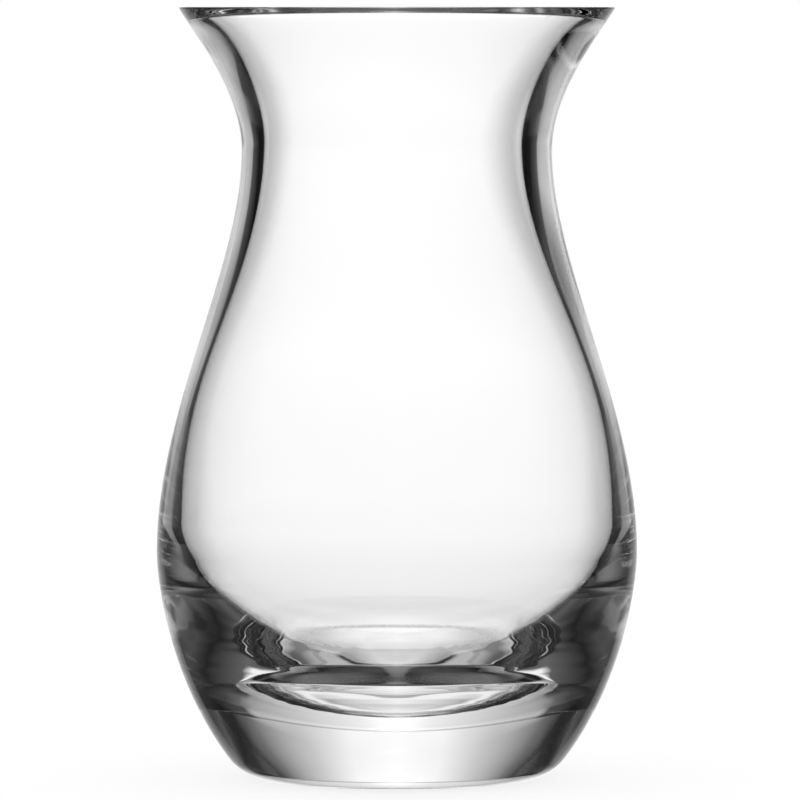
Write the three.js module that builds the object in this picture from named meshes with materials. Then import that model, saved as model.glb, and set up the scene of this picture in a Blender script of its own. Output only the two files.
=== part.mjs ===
// Posy vase in clear blown glass, one piece: a solid heavy base under a full belly, a drawn-in
// neck and a flared mouth with a flat polished lip. Millimetres, +Z up. The origin is the middle
// of the flat that the vase stands on.

import * as THREE from "three";

// Outside, from the foot up: diameters, and heights above the table
const footDiameter = 54.4;
const heelDiameter = 74.2;
const heelHeight = 4.5;
const bellyDiameter = 106;
const bellyHeight = 50.1;
const neckDiameter = 68.3;
const neckHeight = 138.5;
const mouthDiameter = 95.5;
const height = 170;

// Glass thickness: the solid base under the cavity, and the wall at its three stations
const baseThickness = 19.5;
const bellyWall = 5.2;
const neckWall = 5.8;
const lipWall = 6;

// The cavity is widest higher up than the outside is, and its own waist lies a little higher too.
// Its wall turns into a shallow floor at the knee.
const cavityRise = 6.4;
const waistRise = 2;
const kneeDiameter = 61;
const kneeRise = 7;

// Slopes of the wall, in degrees from the vertical, and the polished edges of the lip
const heelSlope = 37;
const mouthFlare = 27.8;
const cavityFlare = 26;
const kneeSlope = 61;
const lipEdge = 0.6;

// Fullness of each bend, as a share of the height or width that its curve spans
const footFullness = 0.32;
const heelFullness = 0.91;
const lowerBellyFullness = { heel: 0.49, belly: 0.13 };
const shoulderFullness = { belly: 0.35, neck: 0.29 };
const throatFullness = { neck: 0.44, mouth: 0.16 };
const cavityShoulderFullness = { belly: 0.44, neck: 0.33 };
const cavityThroatFullness = { neck: 0.5, mouth: 0.17 };
const bowlFullness = { side: 0.53, knee: 0.1 };
const floorFullness = { knee: 0.25, middle: 0.41 };

// Points along one bend of the outline, and steps round the vase
const bendPoints = 9;
const shortBendPoints = 6;
const lipPoints = 3;
const roundSteps = 64;

const radius = (diameter) => diameter / 2;
const radians = (degrees) => THREE.MathUtils.degToRad(degrees);

// A point that lies a given length from another, up or down a wall that leans by an angle
function alongWall(point, lean, length) {
  const offset = new THREE.Vector2(Math.sin(lean), Math.cos(lean)).multiplyScalar(length);
  return point.clone().add(offset);
}

// One bend of the outline from start to end, drawn by the two handles that set its tangents
function bend(start, startHandle, endHandle, end, points = bendPoints) {
  return new THREE.CubicBezierCurve(start, startHandle, endHandle, end).getPoints(points);
}

// Rounds the corner between a leaning wall and the flat top of the lip
function lipCorner(wallEnd, lean, towardsAxis) {
  const corner = alongWall(wallEnd, lean, lipEdge / Math.cos(lean));
  const onTop = new THREE.Vector2(corner.x + towardsAxis * lipEdge, corner.y);
  return new THREE.QuadraticBezierCurve(wallEnd, corner, onTop).getPoints(lipPoints);
}

// Outside of the wall, from the edge of the foot up to the lip
function outsideOutline() {
  const foot = new THREE.Vector2(radius(footDiameter), 0);
  const heel = new THREE.Vector2(radius(heelDiameter), heelHeight);
  const belly = new THREE.Vector2(radius(bellyDiameter), bellyHeight);
  const neck = new THREE.Vector2(radius(neckDiameter), neckHeight);
  const mouth = new THREE.Vector2(radius(mouthDiameter), height - lipEdge);

  const footSpan = heel.x - foot.x;
  const lowerSpan = belly.y - heel.y;
  const shoulderSpan = neck.y - belly.y;
  const throatSpan = mouth.y - neck.y;
  const slope = radians(heelSlope);
  const flare = radians(mouthFlare);
  const { heel: heelShare, belly: lowerShare } = lowerBellyFullness;

  return [
    bend(
      foot,
      new THREE.Vector2(foot.x + footFullness * footSpan, foot.y),
      alongWall(heel, slope, -heelFullness * heelHeight),
      heel,
      shortBendPoints,
    ),
    bend(
      heel,
      alongWall(heel, slope, heelShare * lowerSpan),
      new THREE.Vector2(belly.x, belly.y - lowerShare * lowerSpan),
      belly,
    ),
    bend(
      belly,
      new THREE.Vector2(belly.x, belly.y + shoulderFullness.belly * shoulderSpan),
      new THREE.Vector2(neck.x, neck.y - shoulderFullness.neck * shoulderSpan),
      neck,
    ),
    bend(
      neck,
      new THREE.Vector2(neck.x, neck.y + throatFullness.neck * throatSpan),
      alongWall(mouth, flare, -throatFullness.mouth * throatSpan),
      mouth,
    ),
    lipCorner(mouth, flare, -1),
  ];
}

// Inside of the wall, from the lip down to the middle of the cavity's floor
function cavityOutline() {
  const mouth = new THREE.Vector2(radius(mouthDiameter) - lipWall, height - lipEdge);
  const waist = new THREE.Vector2(radius(neckDiameter) - neckWall, neckHeight + waistRise);
  const widest = new THREE.Vector2(radius(bellyDiameter) - bellyWall, bellyHeight + cavityRise);
  const knee = new THREE.Vector2(radius(kneeDiameter), baseThickness + kneeRise);
  const floor = new THREE.Vector2(0, baseThickness);

  const throatSpan = mouth.y - waist.y;
  const shoulderSpan = waist.y - widest.y;
  const bowlSpan = widest.y - knee.y;
  const flare = radians(cavityFlare);
  const lean = radians(kneeSlope);

  return [
    lipCorner(mouth, flare, 1).reverse(),
    bend(
      mouth,
      alongWall(mouth, flare, -cavityThroatFullness.mouth * throatSpan),
      new THREE.Vector2(waist.x, waist.y + cavityThroatFullness.neck * throatSpan),
      waist,
    ),
    bend(
      waist,
      new THREE.Vector2(waist.x, waist.y - cavityShoulderFullness.neck * shoulderSpan),
      new THREE.Vector2(widest.x, widest.y + cavityShoulderFullness.belly * shoulderSpan),
      widest,
    ),
    bend(
      widest,
      new THREE.Vector2(widest.x, widest.y - bowlFullness.side * bowlSpan),
      alongWall(knee, lean, bowlFullness.knee * bowlSpan),
      knee,
    ),
    bend(
      knee,
      alongWall(knee, lean, -floorFullness.knee * knee.x),
      new THREE.Vector2(floorFullness.middle * knee.x, floor.y),
      floor,
      shortBendPoints,
    ),
  ];
}

// The whole section of the glass, from the middle of the foot round to the middle of the cavity.
// Neighbouring bends share their end point, which is kept once.
function glassSection() {
  const bends = [...outsideOutline(), ...cavityOutline()];
  const points = [new THREE.Vector2(0, 0)];
  for (const bendOfWall of bends) {
    for (const point of bendOfWall) {
      if (point.distanceTo(points.at(-1)) > 0.01) points.push(point);
    }
  }
  points.at(-1).x = 0;
  return points;
}

function buildVase() {
  const glass = new THREE.MeshStandardMaterial({
    color: 0xf4f8f7,
    roughness: 0.02,
    metalness: 0,
    transparent: true,
    opacity: 0.35,
  });
  // The lathe turns about Y, so the vase is stood up on +Z
  const turned = new THREE.LatheGeometry(glassSection(), roundSteps).rotateX(Math.PI / 2);
  const vase = new THREE.Mesh(turned, glass);
  vase.name = "vase_body";
  return vase;
}

const posyVase = new THREE.Group();
posyVase.add(buildVase());

export default posyVase;
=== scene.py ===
# Looks of the posy vase: one piece of clear blown glass with a heavy solid base, in a white studio.
import math

import bpy
import numpy as np
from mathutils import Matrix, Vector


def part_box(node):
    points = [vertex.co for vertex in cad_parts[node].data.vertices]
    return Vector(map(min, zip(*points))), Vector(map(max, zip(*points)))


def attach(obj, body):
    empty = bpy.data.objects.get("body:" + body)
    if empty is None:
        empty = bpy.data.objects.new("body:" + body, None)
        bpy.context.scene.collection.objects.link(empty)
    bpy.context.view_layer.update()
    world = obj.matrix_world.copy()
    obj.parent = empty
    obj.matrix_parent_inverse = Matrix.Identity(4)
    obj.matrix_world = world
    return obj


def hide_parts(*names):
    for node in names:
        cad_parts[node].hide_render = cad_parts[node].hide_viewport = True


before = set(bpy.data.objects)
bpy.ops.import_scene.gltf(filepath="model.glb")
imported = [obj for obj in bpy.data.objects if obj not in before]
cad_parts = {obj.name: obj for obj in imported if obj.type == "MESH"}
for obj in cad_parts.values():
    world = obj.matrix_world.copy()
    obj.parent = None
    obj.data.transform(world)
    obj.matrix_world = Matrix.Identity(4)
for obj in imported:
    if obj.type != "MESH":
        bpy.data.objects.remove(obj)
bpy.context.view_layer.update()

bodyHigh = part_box("vase_body")[1]
scene = bpy.context.scene
millimetres = 1000.0            # in a metre
white = (1.0, 1.0, 1.0, 1.0)

# Outside of the glass. Sizes are in millimetres, (radius, height) for each station, and are turned into
# metres when the mesh is made. The total height and the widest radius come from the CAD frame.
vase = {
    "height": bodyHigh.z * millimetres,
    "bellyRadius": bodyHigh.x * millimetres,
    "foot": (27.2, 0.0),
    "heel": (37.1, 4.5),
    "bellyHeight": 50.1,
    "neck": (34.15, 138.5),
    "mouthRadius": 48.1,
    "heelLean": 37.1,           # degrees from the vertical
    "mouthLean": 27.8,
    "handles": {                # length of each Bezier handle
        "footOut": 3.2, "heelDown": 4.1, "heelUp": 22.2, "bellyDown": 5.9,
        "bellyUp": 31.3, "neckDown": 25.4, "neckUp": 13.5, "mouthDown": 5.0,
    },
    "footHollow": 0.12,         # how far the underside is dished
    "lipEdge": 0.45,            # rounding of the polished lip
}

# Inside of the glass, in the same units
cavity = {
    "mouthRadius": 42.0,
    "mouthLean": 26.0,
    "waist": (28.4, 140.5),
    "widest": (47.85, 56.5),
    "knee": (30.65, 25.75),     # where the wall turns into the floor
    "kneeLean": 64.5,
    "floorHeight": 19.5,
    "handles": {
        "mouthDown": 5.0, "waistUp": 14.3, "waistDown": 27.5, "widestUp": 37.1,
        "widestDown": 17.6, "kneeUp": 1.3, "kneeDown": 7.1, "floorOut": 12.8,
    },
    # the cavity was blown a little off the outside's axis: how far along X, and over which heights
    "drift": {"shift": -0.62, "height": 137.0, "above": 20.0, "below": 24.0},
}

# Faint rings that the blowing left in the wall round the knee: (height in mm, spacing in mm, start in
# turns) of each, strongest at the knee and gone about 25 mm of path away from it
ripple = {
    "waves": [(0.009, 3.3, 0.1), (0.006, 5.1, 0.45), (0.003, 2.2, 0.8)],
    "spread": 11.0,
}

# Points round the vase, and along each stretch of its section; closer than samePoint is one point
meshSteps = {"round": 216, "bend": 42, "fine": 100, "lip": 8, "foot": 18}
samePoint = 1e-4


def bezierCurve(start, startHandle, endHandle, end, steps):
    # (1-t)^3 A + 3(1-t)^2 t B + 3(1-t) t^2 C + t^3 D, for t from 0 to 1
    t = np.linspace(0.0, 1.0, steps)[:, None]
    a, b, c, d = (np.array(point, float) for point in (start, startHandle, endHandle, end))
    return (1 - t) ** 3 * a + 3 * (1 - t) ** 2 * t * b + 3 * (1 - t) * t ** 2 * c + t ** 3 * d


def along(point, lean, length):
    # the point moved by a length up a wall that leans outwards by some degrees
    angle = math.radians(lean)
    return (point[0] + length * math.sin(angle), point[1] + length * math.cos(angle))


def outsideSection():
    # foot centre -> foot edge -> heel -> belly -> neck -> start of the lip
    h = vase["handles"]
    foot, heel, neck = vase["foot"], vase["heel"], vase["neck"]
    belly = (vase["bellyRadius"], vase["bellyHeight"])
    mouth = (vase["mouthRadius"], vase["height"])
    steps = meshSteps["bend"]
    x = np.linspace(0.0, 1.0, meshSteps["foot"])
    dish = vase["footHollow"] * (1 - x ** 2) ** 2            # shallow dish, flat again at the foot's edge
    under = np.stack([x * foot[0], dish], axis=1)
    heelBend = bezierCurve(foot, (foot[0] + h["footOut"], 0.0),
                           along(heel, vase["heelLean"], -h["heelDown"]), heel, steps // 2)
    lowerBelly = bezierCurve(heel, along(heel, vase["heelLean"], h["heelUp"]),
                             (belly[0], belly[1] - h["bellyDown"]), belly, steps)
    shoulder = bezierCurve(belly, (belly[0], belly[1] + h["bellyUp"]),
                           (neck[0], neck[1] - h["neckDown"]), neck, steps)
    throat = bezierCurve(neck, (neck[0], neck[1] + h["neckUp"]),
                         along(mouth, vase["mouthLean"], -h["mouthDown"]), mouth, steps)
    return np.concatenate([under, heelBend[1:], lowerBelly[1:], shoulder[1:], throat[1:]])


def cavitySection():
    # lip -> waist -> widest -> knee -> middle of the cavity's floor
    h = cavity["handles"]
    mouth = (cavity["mouthRadius"], vase["height"])
    waist, widest, knee = cavity["waist"], cavity["widest"], cavity["knee"]
    floor = (0.0, cavity["floorHeight"])
    steps = meshSteps["bend"]
    throat = bezierCurve(mouth, along(mouth, cavity["mouthLean"], -h["mouthDown"]),
                         (waist[0], waist[1] + h["waistUp"]), waist, steps)
    shoulder = bezierCurve(waist, (waist[0], waist[1] - h["waistDown"]),
                           (widest[0], widest[1] + h["widestUp"]), widest, steps)
    bowl = bezierCurve(widest, (widest[0], widest[1] - h["widestDown"]),
                       along(knee, cavity["kneeLean"], h["kneeUp"]), knee, meshSteps["fine"])
    bottom = bezierCurve(knee, along(knee, cavity["kneeLean"], -h["kneeDown"]),
                         (h["floorOut"], floor[1]), floor, meshSteps["fine"] // 2)
    lower = rippled(np.concatenate([bowl[1:], bottom[1:]]), len(bowl) - 2)
    return np.concatenate([throat, shoulder[1:], lower])


def rippled(points, kneeIndex):
    # moves each point along its normal by exp(-(s/spread)^2) * sum of A sin(2 pi (s/L + turns)), with s
    # the path from the knee; the last point stays on the axis
    path = np.cumsum(np.linalg.norm(np.diff(points, axis=0, prepend=points[:1]), axis=1))
    s = path - path[kneeIndex]
    wave = sum(a * np.sin(2 * math.pi * (s / spacing + turns)) for a, spacing, turns in ripple["waves"])
    wave = wave * np.exp(-(s / ripple["spread"]) ** 2)
    tangent = np.gradient(points, axis=0)
    normal = np.stack([-tangent[:, 1], tangent[:, 0]], axis=1) / np.linalg.norm(tangent, axis=1)[:, None]
    moved = points + normal * wave[:, None]
    moved[-1, 0] = 0.0
    return moved


def lipCorner(wall, towardsAxis):
    # cuts a wall that runs up to the lip at lipEdge below the top, and rounds it over to the flat top:
    # (1-t)^2 S + 2(1-t) t C + t^2 E, with C where the wall would meet the top
    top, edge = vase["height"], vase["lipEdge"]
    kept = wall[wall[:, 1] < top - edge]
    low = kept[-1]
    lean = (wall[-1] - low) / (wall[-1, 1] - low[1])
    start = low + lean * (top - edge - low[1])
    corner = low + lean * (top - low[1])
    end = corner + np.array([towardsAxis * edge, 0.0])
    t = np.linspace(0.0, 1.0, meshSteps["lip"])[:, None]
    return np.concatenate([kept, (1 - t) ** 2 * start + 2 * (1 - t) * t * corner + t ** 2 * end])


def glassSection():
    # the closed outline of the glass, and how far each of its rings is moved along X
    outside = lipCorner(outsideSection(), -1)
    inside = lipCorner(cavitySection()[::-1], 1)[::-1]
    drift = cavity["drift"]
    spread = np.where(inside[:, 1] > drift["height"], drift["above"], drift["below"])
    shift = drift["shift"] * np.exp(-((inside[:, 1] - drift["height"]) / spread) ** 2)
    section = np.concatenate([outside, inside])
    offset = np.concatenate([np.zeros(len(outside)), shift])
    apart = np.concatenate([[True], np.linalg.norm(np.diff(section, axis=0), axis=1) > samePoint])
    return section[apart], offset[apart]


def turnedMesh(name, section, offset, steps):
    # x = offset(s) + r(s) cos(a), y = r(s) sin(a), z = z(s); the first and last points are the poles
    angle = np.linspace(0.0, 2 * math.pi, steps, endpoint=False)
    r, z, dx = section[1:-1, 0, None], section[1:-1, 1, None], offset[1:-1, None]
    rings = np.stack([dx + r * np.cos(angle), r * np.sin(angle), z + 0 * angle], axis=-1).reshape(-1, 3)
    poles = np.array([[offset[0], 0.0, section[0, 1]], [offset[-1], 0.0, section[-1, 1]]])
    points = np.concatenate([rings, poles]) / millimetres

    ringCount = len(section) - 2
    index = np.arange(ringCount * steps).reshape(ringCount, steps)
    following = np.roll(index, -1, axis=1)
    quads = np.stack([index[:-1], following[:-1], following[1:], index[1:]], axis=-1).reshape(-1, 4)
    bottomPole, topPole = len(rings), len(rings) + 1
    bottomFan = np.stack([np.full(steps, bottomPole), following[0], index[0]], axis=-1)
    topFan = np.stack([np.full(steps, topPole), index[-1], following[-1]], axis=-1)

    mesh = bpy.data.meshes.new(name)
    corners = np.concatenate([quads.ravel(), bottomFan.ravel(), topFan.ravel()])
    sizes = np.concatenate([np.full(len(quads), 4), np.full(2 * steps, 3)])
    mesh.vertices.add(len(points))
    mesh.vertices.foreach_set("co", points.ravel())
    mesh.loops.add(len(corners))
    mesh.loops.foreach_set("vertex_index", corners)
    mesh.polygons.add(len(sizes))
    mesh.polygons.foreach_set("loop_start", np.concatenate([[0], np.cumsum(sizes)[:-1]]))
    mesh.polygons.foreach_set("use_smooth", np.ones(len(sizes), bool))
    mesh.update(calc_edges=True)
    mesh.validate()
    return mesh


class NodeMaker:
    # makes and links shader nodes of one tree; a number goes on the socket itself
    def __init__(self, tree):
        self.tree = tree

    def put(self, kind, inputs=(), output=0, **settings):
        node = self.tree.nodes.new(kind)
        for name, value in settings.items():
            setattr(node, name, value)
        for socket, value in dict(inputs).items():
            if isinstance(value, bpy.types.NodeSocket):
                self.tree.links.new(value, node.inputs[socket])
            else:
                node.inputs[socket].default_value = value
        return node.outputs[output]

    def maths(self, operation, a, b=0.0, clamp=False):
        return self.put("ShaderNodeMath", {0: a, 1: b}, operation=operation, use_clamp=clamp)

    def step(self, value, low, high):
        # 0 below low, 1 above high, straight between them
        return self.put("ShaderNodeMapRange", {"Value": value, "From Min": low, "From Max": high}, clamp=True)

    def curve(self, value, points):
        # a broken line through (value, strength) points, flat beyond its ends
        first, last = points[0][0], points[-1][0]
        ramp = self.tree.nodes.new("ShaderNodeValToRGB")
        self.tree.links.new(self.step(value, first, last), ramp.inputs[0])
        elements = ramp.color_ramp.elements
        elements.remove(elements[-1])
        for count, (place, strength) in enumerate(points):
            share = (place - first) / (last - first)
            element = elements[0] if count == 0 else elements.new(share)
            element.position = share
            element.color = (strength, strength, strength, 1.0)
        return ramp.outputs[0]

    def less(self, value):
        return self.maths("SUBTRACT", 1.0, value)

    def times(self, first, *others):
        for other in others:
            first = self.maths("MULTIPLY", first, other)
        return first

    def blend(self, share, first, second):
        # first * (1 - share) + second * share
        return self.maths("ADD", self.times(first, self.less(share)), self.times(second, share))


# Clear glass, in metres: the foot's matt ring fades in over these heights and radii, and the surface's
# slow waves fade out over theirs
glass = {
    "ior": 1.50,
    "matt": {
        "height": (0.0001, 0.0004), "radius": (0.0235, 0.0255), "roughness": (0.18, 0.36),
        "grain": {"Scale": 900.0, "Detail": 3.0}, "patches": (0.25, 0.75),
    },
    "wave": {"noise": {"Scale": 62.0, "Detail": 1.0}, "depth": 0.00003, "height": (0.055, 0.085)},
}


def glassMaterial():
    material = bpy.data.materials.new("clearGlass")
    material.use_nodes = True
    make = NodeMaker(material.node_tree)
    shader = material.node_tree.nodes["Principled BSDF"]
    shader.inputs["Base Color"].default_value = white
    shader.inputs["IOR"].default_value = glass["ior"]
    shader.inputs["Transmission Weight"].default_value = 1.0

    place = make.put("ShaderNodeTexCoord", output="Object")
    parts = make.tree.nodes.new("ShaderNodeSeparateXYZ")
    make.tree.links.new(place, parts.inputs[0])

    # the ring that the vase stands on is ground matt, with finer and coarser patches; the rest is polished
    matt = glass["matt"]
    x, y, z = parts.outputs
    radius = make.maths("SQRT", make.maths("ADD", make.times(x, x), make.times(y, y)))
    under = make.less(make.step(z, *matt["height"]))
    ring = make.times(make.step(radius, *matt["radius"]), under)
    grain = make.put("ShaderNodeTexNoise", {"Vector": place, **matt["grain"]})
    roughness = make.blend(make.step(grain, *matt["patches"]), *matt["roughness"])
    make.tree.links.new(make.times(ring, roughness), shader.inputs["Roughness"])

    # slow waves that the blowing leaves in the thick glass round the base, gone above the belly
    wave = glass["wave"]
    noise = make.put("ShaderNodeTexNoise", {"Vector": place, **wave["noise"]})
    swell = make.times(noise, make.less(make.step(z, *wave["height"])))
    bump = make.put("ShaderNodeBump", {"Height": swell, "Strength": 1.0, "Distance": wave["depth"]})
    make.tree.links.new(bump, shader.inputs["Normal"])
    return material


section, offset = glassSection()
blownGlass = turnedMesh("blown_glass", section, offset, meshSteps["round"])
vaseObject = bpy.data.objects.new("blown_glass", blownGlass)
scene.collection.objects.link(vaseObject)
vaseObject.data.materials.append(glassMaterial())
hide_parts("vase_body")
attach(vaseObject, "root")
print("glass:", len(vaseObject.data.polygons), "faces,", len(section) - 2, "rings")

# The photograph's view: level with the lip, tipped a little down, from straight in front. Places are in
# metres, the rows and the width in pixels of the photograph's frame, the sensor in millimetres.
view = {
    "distance": 1.75,
    "height": 0.170,
    "aside": 0.00068,
    "metresPerPixel": 0.00022015,    # at the vase's axis
    "width": 800,
    "middleRow": 400.0,
    "lipRow": 7.0,
    "sensor": 36.0,
    "farLimit": 100.0,
}


def makeCamera():
    camera = bpy.data.objects.new("camera", bpy.data.cameras.new("camera"))
    scene.collection.objects.link(camera)
    scene.camera = camera
    pixelsAway = view["distance"] / view["metresPerPixel"]
    camera.data.sensor_width = view["sensor"]
    camera.data.lens = view["sensor"] * pixelsAway / view["width"]
    camera.data.clip_end = view["farLimit"]
    pitch = math.atan((view["middleRow"] - view["lipRow"]) / pixelsAway)
    camera.location = (view["aside"], -view["distance"], view["height"])
    camera.rotation_euler = (math.pi / 2 - pitch, 0.0, 0.0)
    print("camera:", round(camera.data.lens), "mm lens,", round(math.degrees(pitch), 2), "degrees down")


makeCamera()

# Studio: the camera sees plain white. What shows straight through the walls is a ring of white panels.
# Light that was mirrored once inside the glass comes from a white sweep behind the vase in a dark room,
# as a dark-field photograph of glass is lit, and light that was mirrored more often from a deeper room.
# Each part is a strength across an angle times a strength up the elevation. Angles are in degrees, and
# 1 is the white of the background.
overhead = [(21, 0.0), (27, 0.86), (55, 1.1)]

panels = [
    {   # every 45 degrees, from the table up to above eye level
        "over": "eighth",
        "across": [(0, 1.18), (9, 1.15), (15, 0.88), (22.5, 0.71)],
        "rise": [(-75, 1.2), (-60, 1.05), (-45, 0.75), (0, 1.0), (21, 0.9), (27, 0.0)],
    },
    {   # overhead, before and behind
        "over": "half",
        "across": [(0, 1.25), (10, 1.13), (20, 0.72), (38, 0.18), (48, 0.02)],
        "rise": overhead,
    },
    {   # overhead at the sides, narrower
        "over": "half",
        "across": [(64, 0.0), (76, 0.9), (90, 1.25)],
        "rise": overhead,
    },
]

sweep = [
    {   # behind the vase
        "over": "aside", "behind": True,
        "across": [(0, 1.25), (5, 0.88), (15, 0.62), (28, 0.4), (30.5, 0.07), (42, 0.0)],
        "rise": [(-1, 0.0), (1, 1.0), (8, 1.25), (16, 0.6), (26, 1.1), (36, 0.15)],
    },
    {   # its lower edge
        "over": "azimuth", "behind": True,
        "across": [(0, 1.15), (5, 0.88), (15, 0.6), (27, 0.33), (31, 0.13), (37, 0.05), (48, 0.0)],
        "rise": [(-13, 0.0), (-9, 1.05), (-1, 1.05), (1, 0.0)],
    },
    {   # the far end of the table
        "over": "azimuth", "behind": True,
        "across": [(0, 0.95), (8, 0.74), (17, 0.48), (27, 0.27), (29, 0.03)],
        "rise": [(-27, 0.0), (-23, 0.75), (-17, 1.0), (-13, 1.05), (-9, 0.0)],
    },
    {   # the middle of the table
        "over": "azimuth", "behind": True,
        "across": [(8, 0.17), (20, 0.0)],
        "rise": [(-51, 0.0), (-47, 0.9), (-38, 1.1), (-35, 0.0)],
    },
    {   # the table's two sides
        "over": "azimuth", "behind": True,
        "across": [(17, 0.0), (26, 0.14), (50, 0.16)],
        "rise": [(-61, 0.2), (-50, 0.95), (-38, 1.1), (-35, 0.0)],
    },
    {   # the near part of the table
        "over": "azimuth", "behind": True,
        "across": [(0, 0.22), (5, 0.19), (9, 0.01), (24, 0.03), (33, 0.07)],
        "rise": [(-78, 0.4), (-70, 0.9), (-58, 0.9), (-50, 0.0)],
    },
    {   # what the dark room in front gives back
        "over": "azimuth",
        "across": [(85, 0.0), (95, 0.05)],
        "rise": [(-60, 1.0), (60, 1.0)],
    },
]

deepRoom = [
    {   # the sweep
        "over": "aside", "behind": True,
        "across": [(0, 1.0), (9, 0.55), (13, 0.25), (28, 0.05), (38, 0.52), (44, 0.42), (52, 0.04)],
        "rise": [(-45, 0.25), (-12, 1.1), (-4, 0.65), (4, 0.8), (12, 0.45), (22, 0.45), (32, 0.95),
                 (38, 0.95), (46, 0.0)],
    },
    {   # a soft light overhead
        "over": "azimuth",
        "across": [(28, 0.96), (36, 0.62), (66, 0.6), (76, 0.0)],
        "rise": [(38, 0.0), (46, 1.0)],
    },
    {   # two lamps at the sides
        "over": "azimuth",
        "across": [(71, 0.0), (77, 0.84), (92, 0.84), (98, 0.0)],
        "rise": [(-12, 0.0), (-6, 1.0), (1, 1.0), (7, 0.0)],
    },
    {   # what the dark walls give back
        "over": "azimuth",
        "across": [(50, 0.0), (57, 0.09), (64, 0.03), (96, 0.12), (120, 0.01), (132, 0.06), (145, 0.02),
                   (155, 0.03), (176, 0.2)],
        "rise": [(-50, 0.35), (-26, 0.4), (-18, 1.0), (14, 1.0), (24, 0.3), (50, 0.2)],
    },
]

room = {
    "blackWall": 0.003,         # what the black walls still give back
    "edge": (-0.02, 0.02),      # how softly the front of the room turns into the back
    "halfPanel": 22.5,          # from one panel's middle to where the next begins
    "once": (0.4, 0.6),         # where the count of mirrorings passes from none to one
    "more": (1.4, 1.6),         # and from one to more
}


def lightFrom(make, angles, parts):
    # the sum of all parts' light in the directions that angles describes
    light = room["blackWall"]
    for part in parts:
        strength = make.times(make.curve(angles[part["over"]], part["across"]),
                              make.curve(angles["elevation"], part["rise"]))
        if part.get("behind"):
            strength = make.times(strength, angles["behind"])
        light = make.maths("ADD", light, strength)
    return light


def makeWorld():
    world = bpy.data.worlds.new("studio")
    scene.world = world
    world.use_nodes = True
    world.node_tree.nodes.clear()
    make = NodeMaker(world.node_tree)
    direction = make.put("ShaderNodeTexCoord", output="Generated")
    parts = make.tree.nodes.new("ShaderNodeSeparateXYZ")
    make.tree.links.new(direction, parts.inputs[0])
    x, y, z = parts.outputs
    degrees = math.degrees(1.0)
    sideways = make.maths("ABSOLUTE", x)
    azimuth = make.times(make.maths("ARCTAN2", sideways, y), degrees)
    angles = {
        "azimuth": azimuth,                                          # 0 behind the vase, 180 in front
        "aside": make.times(make.maths("ARCSINE", sideways), degrees),
        "elevation": make.times(make.maths("ARCSINE", z), degrees),
        "eighth": make.maths("PINGPONG", azimuth, room["halfPanel"]),      # 0 at a panel's middle
        "half": make.maths("PINGPONG", azimuth, 90.0),               # 0 before and behind, 90 at the sides
        "behind": make.step(y, *room["edge"]),
    }
    rays = make.tree.nodes.new("ShaderNodeLightPath")
    ray = rays.outputs
    once = make.step(ray["Glossy Depth"], *room["once"])
    more = make.step(ray["Glossy Depth"], *room["more"])
    mirrored = make.blend(more, lightFrom(make, angles, sweep), lightFrom(make, angles, deepRoom))
    strength = make.blend(once, lightFrom(make, angles, panels), mirrored)
    inGlass = make.maths("ADD", ray["Is Glossy Ray"], ray["Is Transmission Ray"], clamp=True)
    seenInGlass = make.times(inGlass, make.less(ray["Is Camera Ray"]))
    plain = make.put("ShaderNodeBackground", {"Color": white})
    lit = make.put("ShaderNodeBackground", {"Color": strength})
    mixed = make.put("ShaderNodeMixShader", {0: seenInGlass, 1: plain, 2: lit})
    output = make.tree.nodes.new("ShaderNodeOutputWorld")
    make.tree.links.new(mixed, output.inputs["Surface"])
    print("studio:", len(panels), "sets of panels,", len(sweep) + len(deepRoom), "parts of the dark room")


makeWorld()

# The floor: plain and pale, in metres. The camera sees it white, with the vase's own faint shadow; the
# table that the glass sees is the world's.
floor = {"radius": 2.0, "sides": 96, "drop": 0.0002, "colour": 0.9, "glow": 1.06, "shadowShare": 0.22}


def makeFloor():
    angle = np.linspace(0.0, 2 * math.pi, floor["sides"], endpoint=False)
    rim = np.stack([np.cos(angle), np.sin(angle), 0 * angle], axis=1) * floor["radius"]
    rim[:, 2] = -floor["drop"]
    mesh = bpy.data.meshes.new("studio_floor")
    mesh.from_pydata(rim.tolist(), [], [list(range(len(rim)))])
    table = bpy.data.objects.new("studio_floor", mesh)
    scene.collection.objects.link(table)
    material = bpy.data.materials.new("paleFloor")
    material.use_nodes = True
    material.node_tree.nodes.clear()
    make = NodeMaker(material.node_tree)
    rays = make.tree.nodes.new("ShaderNodeLightPath")
    glow = make.put("ShaderNodeEmission", {"Strength": floor["glow"]})
    pale = make.put("ShaderNodeBsdfDiffuse", {"Color": (floor["colour"],) * 3 + (1.0,)})
    shaded = make.put("ShaderNodeMixShader", {0: floor["shadowShare"], 1: glow, 2: pale})
    clear = make.put("ShaderNodeBsdfTransparent")
    mixed = make.put("ShaderNodeMixShader", {0: rays.outputs["Is Camera Ray"], 1: clear, 2: shaded})
    output = make.tree.nodes.new("ShaderNodeOutputMaterial")
    make.tree.links.new(mixed, output.inputs["Surface"])
    mesh.materials.append(material)
    print("floor:", floor["radius"], "m in radius")


makeFloor()

# the thick glass turns light round many times before it leaves
scene.view_settings.view_transform = "Standard"
scene.cycles.max_bounces = 48
scene.cycles.glossy_bounces = 32
scene.cycles.transmission_bounces = 48
